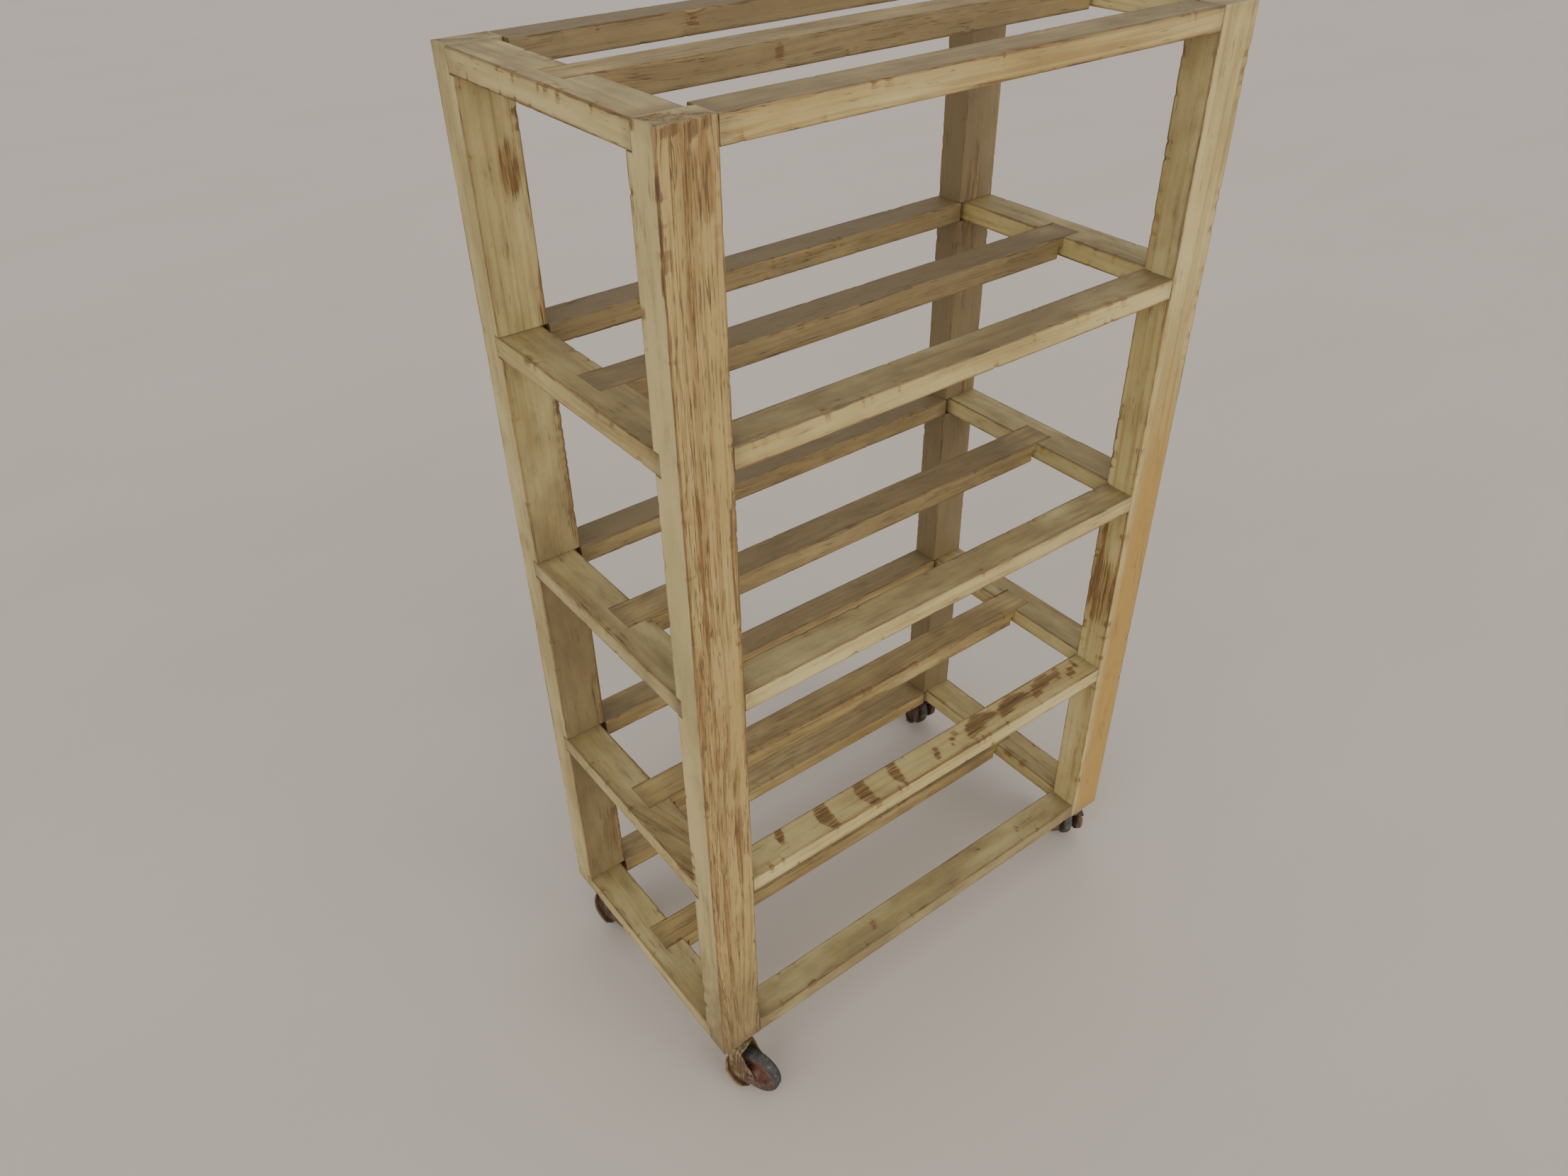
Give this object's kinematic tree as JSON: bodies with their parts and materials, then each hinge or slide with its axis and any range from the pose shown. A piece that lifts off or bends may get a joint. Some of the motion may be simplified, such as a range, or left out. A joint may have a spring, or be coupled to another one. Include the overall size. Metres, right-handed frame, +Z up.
{
  "type": "book cart",
  "caption": "Open rolling rack of worn painted wood for books or trays, with slatted levels between plain posts and small rubber-tyred swivel casters.",
  "frame": {"origin": "on the floor, at the centre of the footprint of the frame and its casters as they stand", "axes": "+X along the long side to the right seen from the front, +Y to the back, +Z up"},
  "size_m": [0.7624, 0.4966, 1.303],
  "materials": {
    "painted_wood": "worn cream paint over softwood",
    "painted_steel": "worn cream paint over steel",
    "galvanised_steel": "dull, stained",
    "worn_steel": "worn",
    "wheel_disc": "matt red-brown",
    "tyre_rubber": "dusty grey"
  },
  "bodies": {
    "frame": {"post_front_left": "painted_wood", "post_front_right": "painted_wood", "post_back_right": "painted_wood", "post_back_left": "painted_wood", "level1_front_rail": "painted_wood", "level1_back_rail": "painted_wood", "level1_left_end_rail": "painted_wood", "level1_right_end_rail": "painted_wood", "level1_middle_slat": "painted_wood", "level2_front_rail": "painted_wood", "level2_back_rail": "painted_wood", "level2_left_end_rail": "painted_wood", "level2_right_end_rail": "painted_wood", "level2_middle_slat": "painted_wood", "level3_front_rail": "painted_wood", "level3_back_rail": "painted_wood", "level3_left_end_rail": "painted_wood", "level3_right_end_rail": "painted_wood", "level3_middle_slat": "painted_wood", "level4_front_rail": "painted_wood", "level4_back_rail": "painted_wood", "level4_left_end_rail": "painted_wood", "level4_right_end_rail": "painted_wood", "level4_middle_slat": "painted_wood", "level5_front_rail": "painted_wood", "level5_back_rail": "painted_wood", "level5_left_end_rail": "painted_wood", "level5_right_end_rail": "painted_wood", "level5_middle_slat": "painted_wood", "caster_front_left_socket": "galvanised_steel", "caster_front_right_socket": "galvanised_steel", "caster_back_right_socket": "galvanised_steel", "caster_back_left_socket": "galvanised_steel"},
    "swivel_front_left": {"caster_front_left_fork": "painted_steel", "caster_front_left_stem": "worn_steel", "caster_front_left_bearing_cup": "galvanised_steel", "caster_front_left_axle": "worn_steel"},
    "wheel_front_left": {"caster_front_left_wheel_centre": "wheel_disc", "caster_front_left_tyre": "tyre_rubber"},
    "swivel_front_right": {"caster_front_right_fork": "painted_steel", "caster_front_right_stem": "worn_steel", "caster_front_right_bearing_cup": "galvanised_steel", "caster_front_right_axle": "worn_steel"},
    "wheel_front_right": {"caster_front_right_wheel_centre": "wheel_disc", "caster_front_right_tyre": "tyre_rubber"},
    "swivel_back_right": {"caster_back_right_fork": "painted_steel", "caster_back_right_stem": "worn_steel", "caster_back_right_bearing_cup": "galvanised_steel", "caster_back_right_axle": "worn_steel"},
    "wheel_back_right": {"caster_back_right_wheel_centre": "wheel_disc", "caster_back_right_tyre": "tyre_rubber"},
    "swivel_back_left": {"caster_back_left_fork": "painted_steel", "caster_back_left_stem": "worn_steel", "caster_back_left_bearing_cup": "galvanised_steel", "caster_back_left_axle": "worn_steel"},
    "wheel_back_left": {"caster_back_left_wheel_centre": "wheel_disc", "caster_back_left_tyre": "tyre_rubber"}
  },
  "joints": [
    {"name": "front_left_swivel", "type": "hinge", "parent": "frame", "child": "swivel_front_left", "pos_m": [-0.35125, -0.17805, 0.098], "axis": [0, 0, 1], "continuous": true},
    {"name": "front_left_roll", "type": "hinge", "parent": "swivel_front_left", "child": "wheel_front_left", "pos_m": [-0.33835, -0.21166, 0.0375], "axis": [0.9336, 0.3584, 0], "continuous": true},
    {"name": "front_right_swivel", "type": "hinge", "parent": "frame", "child": "swivel_front_right", "pos_m": [0.33875, -0.17805, 0.098], "axis": [0, 0, 1], "continuous": true},
    {"name": "front_right_roll", "type": "hinge", "parent": "swivel_front_right", "child": "wheel_front_right", "pos_m": [0.35675, -0.14687, 0.0375], "axis": [-0.866, 0.5, 0], "continuous": true},
    {"name": "back_right_swivel", "type": "hinge", "parent": "frame", "child": "swivel_back_right", "pos_m": [0.33875, 0.17495, 0.098], "axis": [0, 0, 1], "continuous": true},
    {"name": "back_right_roll", "type": "hinge", "parent": "swivel_back_right", "child": "wheel_back_right", "pos_m": [0.34189, 0.21081, 0.0375], "axis": [-0.9962, 0.0872, 0], "continuous": true},
    {"name": "back_left_swivel", "type": "hinge", "parent": "frame", "child": "swivel_back_left", "pos_m": [-0.35125, 0.17495, 0.098], "axis": [0, 0, 1], "continuous": true},
    {"name": "back_left_roll", "type": "hinge", "parent": "swivel_back_left", "child": "wheel_back_left", "pos_m": [-0.345, 0.1395, 0.0375], "axis": [0.9848, 0.1736, 0], "continuous": true}
  ]
}
